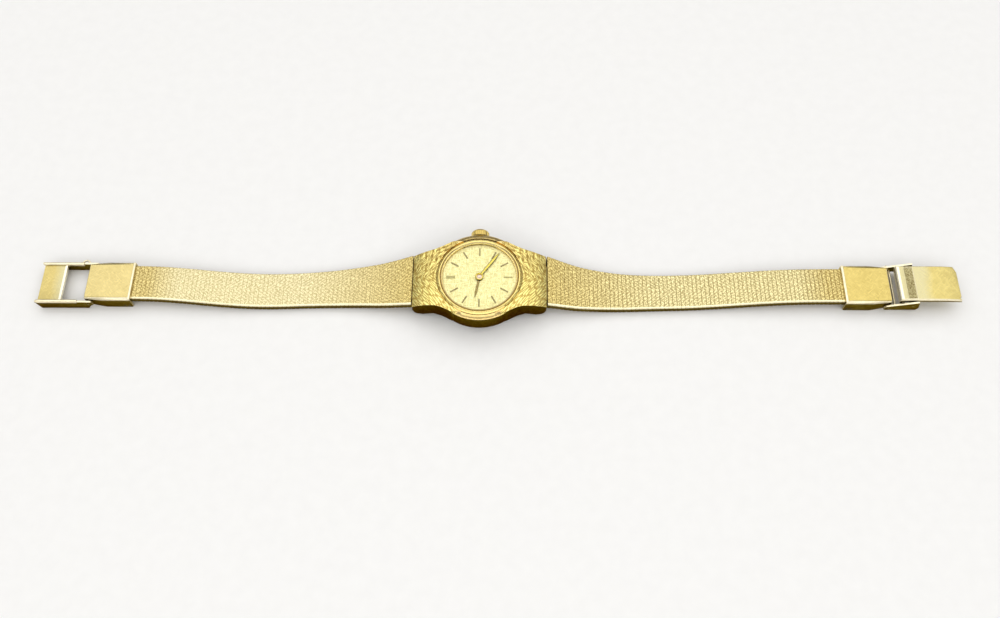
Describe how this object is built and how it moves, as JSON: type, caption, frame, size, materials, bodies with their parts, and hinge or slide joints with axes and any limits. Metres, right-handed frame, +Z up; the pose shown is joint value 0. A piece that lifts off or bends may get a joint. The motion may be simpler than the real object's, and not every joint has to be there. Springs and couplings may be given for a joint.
{
  "type": "bracelet watch",
  "caption": "Small round watch with bark-finished shoulders on a flaring mesh bracelet with a fold-over clasp, laid open and flat; hands, crown, mesh and clasp move.",
  "frame": {"origin": "centre of the case back's flat face, which lies on the table", "axes": "+X along the bracelet towards 6 o'clock and the hook end of the clasp, +Y to the crown at 3 o'clock, +Z up out of the dial"},
  "size_m": [0.1851, 0.021, 0.0066],
  "materials": {
    "board": "laminate",
    "copper": "enamelled copper wire",
    "crystal": "clear mineral glass",
    "dark_trim": "dark, satin",
    "dial": "pale champagne with a fine linen grain",
    "gold_bark": "gold-plated brass, bark finish on the shoulders and polished on the case band",
    "gold_brushed": "brushed gold plate",
    "gold_mesh": "pale gold-plated mesh with a bark finish",
    "gold_polished": "polished gold plate",
    "hand_gold": "polished gold",
    "movement_brass": "satin",
    "plastic": "moulded",
    "rubber": "moulded",
    "steel": "brushed"
  },
  "bodies": {
    "case": {"case_body": "gold_bark", "bezel": "gold_bark", "crystal": "crystal", "crystal_gasket": "plastic", "case_back": "steel", "back_gasket": "rubber", "case_tube": "movement_brass", "lug_pins": "steel", "dial": "dial", "hour_markers": "dark_trim", "movement_ring": "plastic", "main_plate": "movement_brass", "train_bridge": "movement_brass", "bridge_screws": "steel", "battery": "steel", "battery_clamp": "movement_brass", "coil": "copper", "stator": "steel", "circuit_board": "board", "quartz_can": "steel"},
    "minute_arbor": {"centre_wheel": "movement_brass", "cannon_pinion": "movement_brass", "minute_hand": "hand_gold"},
    "hour_arbor": {"hour_wheel": "movement_brass", "hour_hand": "hand_gold"},
    "minute_wheel_body": {"minute_wheel": "movement_brass"},
    "intermediate_body": {"intermediate_wheel": "movement_brass"},
    "rotor_body": {"rotor": "steel"},
    "crown_slide": {"crown_gasket": "rubber"},
    "crown_body": {"crown": "gold_polished", "stem": "steel"},
    "yoke_body": {"yoke": "steel"},
    "clutch_body": {"clutch": "steel"},
    "setting_lever_body": {"setting_lever": "steel"},
    "band_left_1_body": {"band_left_1": "gold_mesh"},
    "band_left_2_body": {"band_left_2": "gold_mesh"},
    "band_left_3_body": {"band_left_3": "gold_mesh"},
    "band_left_4_body": {"band_left_4": "gold_mesh"},
    "band_left_5_body": {"band_left_5": "gold_mesh"},
    "left_end": {"band_left_6": "gold_mesh", "clasp_cap_left": "gold_brushed", "lock_pins_left": "steel", "catch_pin": "steel"},
    "lock_plate_left_body": {"lock_plate_left": "gold_brushed"},
    "band_right_1_body": {"band_right_1": "gold_mesh"},
    "band_right_2_body": {"band_right_2": "gold_mesh"},
    "band_right_3_body": {"band_right_3": "gold_mesh"},
    "band_right_4_body": {"band_right_4": "gold_mesh"},
    "band_right_5_body": {"band_right_5": "gold_mesh"},
    "right_end": {"band_right_6": "gold_mesh", "clasp_cap_right": "gold_brushed", "lock_pins_right": "steel", "link_pin": "steel"},
    "lock_plate_right_body": {"lock_plate_right": "gold_brushed"},
    "catch_body": {"catch_frame": "gold_brushed"},
    "link_body": {"link_frame": "gold_brushed", "hook_pin": "steel"},
    "hook_body": {"hook_plate": "gold_brushed"},
    "jump_ring_body": {"jump_ring": "gold_polished"}
  },
  "joints": [
    {"name": "lug_left", "type": "hinge", "parent": "case", "child": "band_left_1_body", "pos_m": [-0.0121, 0, 0.00205], "axis": [0, -1, 0], "range_deg": [-3, 35]},
    {"name": "mesh_left_1", "type": "hinge", "parent": "band_left_1_body", "child": "band_left_2_body", "pos_m": [-0.02107, 0, 0.00146], "axis": [0, -1, 0], "range_deg": [-12, 20]},
    {"name": "mesh_left_2", "type": "hinge", "parent": "band_left_2_body", "child": "band_left_3_body", "pos_m": [-0.03112, 0, 0.0008], "axis": [0, -1, 0], "range_deg": [-12, 20]},
    {"name": "mesh_left_3", "type": "hinge", "parent": "band_left_3_body", "child": "band_left_4_body", "pos_m": [-0.0412, 0, 0.0008], "axis": [0, -1, 0], "range_deg": [-12, 20]},
    {"name": "mesh_left_4", "type": "hinge", "parent": "band_left_4_body", "child": "band_left_5_body", "pos_m": [-0.05128, 0, 0.0008], "axis": [0, -1, 0], "range_deg": [-12, 20]},
    {"name": "mesh_left_5", "type": "hinge", "parent": "band_left_5_body", "child": "left_end", "pos_m": [-0.06129, 0, 0.00201], "axis": [0, -1, 0], "range_deg": [-12, 20]},
    {"name": "lock_left", "type": "hinge", "parent": "left_end", "child": "lock_plate_left_body", "pos_m": [-0.07075, 0, 0.00062], "axis": [0, -1, 0], "range_deg": [0, 100]},
    {"name": "lug_right", "type": "hinge", "parent": "case", "child": "band_right_1_body", "pos_m": [0.0121, 0, 0.00205], "axis": [0, 1, 0], "range_deg": [-3, 35]},
    {"name": "mesh_right_1", "type": "hinge", "parent": "band_right_1_body", "child": "band_right_2_body", "pos_m": [0.02107, 0, 0.00146], "axis": [0, 1, 0], "range_deg": [-12, 20]},
    {"name": "mesh_right_2", "type": "hinge", "parent": "band_right_2_body", "child": "band_right_3_body", "pos_m": [0.03112, 0, 0.0008], "axis": [0, 1, 0], "range_deg": [-12, 20]},
    {"name": "mesh_right_3", "type": "hinge", "parent": "band_right_3_body", "child": "band_right_4_body", "pos_m": [0.0412, 0, 0.0008], "axis": [0, 1, 0], "range_deg": [-12, 20]},
    {"name": "mesh_right_4", "type": "hinge", "parent": "band_right_4_body", "child": "band_right_5_body", "pos_m": [0.05128, 0, 0.0008], "axis": [0, 1, 0], "range_deg": [-12, 20]},
    {"name": "mesh_right_5", "type": "hinge", "parent": "band_right_5_body", "child": "right_end", "pos_m": [0.06129, 0, 0.00201], "axis": [0, 1, 0], "range_deg": [-12, 20]},
    {"name": "lock_right", "type": "hinge", "parent": "right_end", "child": "lock_plate_right_body", "pos_m": [0.07375, 0, 0.00062], "axis": [0, 1, 0], "range_deg": [0, 100]},
    {"name": "catch_hinge", "type": "hinge", "parent": "left_end", "child": "catch_body", "pos_m": [-0.07845, 0, 0.00175], "axis": [0, -1, 0], "range_deg": [-100, 90]},
    {"name": "link_hinge", "type": "hinge", "parent": "right_end", "child": "link_body", "pos_m": [0.08145, 0, 0.0015], "axis": [0, 1, 0], "range_deg": [-35, 60]},
    {"name": "hook_hinge", "type": "hinge", "parent": "link_body", "child": "hook_body", "pos_m": [0.08632, 0, 0.00265], "axis": [0, -1, 0], "range_deg": [0, 150]},
    {"name": "ring_swing", "type": "hinge", "parent": "link_body", "child": "jump_ring_body", "pos_m": [0.08268, 0.00436, 0.00193], "axis": [0, 1, 0], "range_deg": [-8, 8]},
    {"name": "crown_pull", "type": "slide", "parent": "case", "child": "crown_slide", "axis": [0, 1, 0], "range_m": [0, 0.0009]},
    {"name": "crown_turn", "type": "hinge", "parent": "crown_slide", "child": "crown_body", "pos_m": [0, 0.01, 0.00397], "axis": [0, 1, 0], "continuous": true},
    {"name": "yoke_shift", "type": "slide", "parent": "case", "child": "yoke_body", "axis": [0, 1, 0], "range_m": [-0.00036, 0]},
    {"name": "clutch_turn", "type": "hinge", "parent": "yoke_body", "child": "clutch_body", "pos_m": [0, 0.0038, 0.00397], "axis": [0, 1, 0], "continuous": true},
    {"name": "lever_turn", "type": "hinge", "parent": "case", "child": "setting_lever_body", "pos_m": [0.002, 0.00553, 0.00455], "axis": [0, 0, 1], "range_deg": [-26, 0]},
    {"name": "minute_turn", "type": "hinge", "parent": "case", "child": "minute_arbor", "pos_m": [0, 0, 0.0056], "axis": [0, 0, 1], "continuous": true},
    {"name": "hour_turn", "type": "hinge", "parent": "case", "child": "hour_arbor", "pos_m": [0, 0, 0.0054], "axis": [0, 0, 1], "continuous": true},
    {"name": "minute_wheel_turn", "type": "hinge", "parent": "case", "child": "minute_wheel_body", "pos_m": [0, 0.0016, 0.0044], "axis": [0, 0, 1], "continuous": true},
    {"name": "intermediate_turn", "type": "hinge", "parent": "case", "child": "intermediate_body", "pos_m": [0.00138, -0.00116, 0.0026], "axis": [0, 0, 1], "continuous": true},
    {"name": "rotor_turn", "type": "hinge", "parent": "case", "child": "rotor_body", "pos_m": [0.00293, -0.00172, 0.0026], "axis": [0, 0, 1], "continuous": true}
  ],
  "couplings": [
    {"joint": "yoke_shift", "follows": "crown_pull", "ratio": -0.38889},
    {"joint": "clutch_turn", "follows": "crown_turn", "ratio": 1},
    {"joint": "lever_turn", "follows": "crown_pull", "rad_per_m": -491.81},
    {"joint": "hour_turn", "follows": "minute_turn", "ratio": 0.083333},
    {"joint": "minute_wheel_turn", "follows": "minute_turn", "ratio": -0.33333},
    {"joint": "intermediate_turn", "follows": "minute_turn", "ratio": -9},
    {"joint": "rotor_turn", "follows": "minute_turn", "ratio": 90}
  ]
}
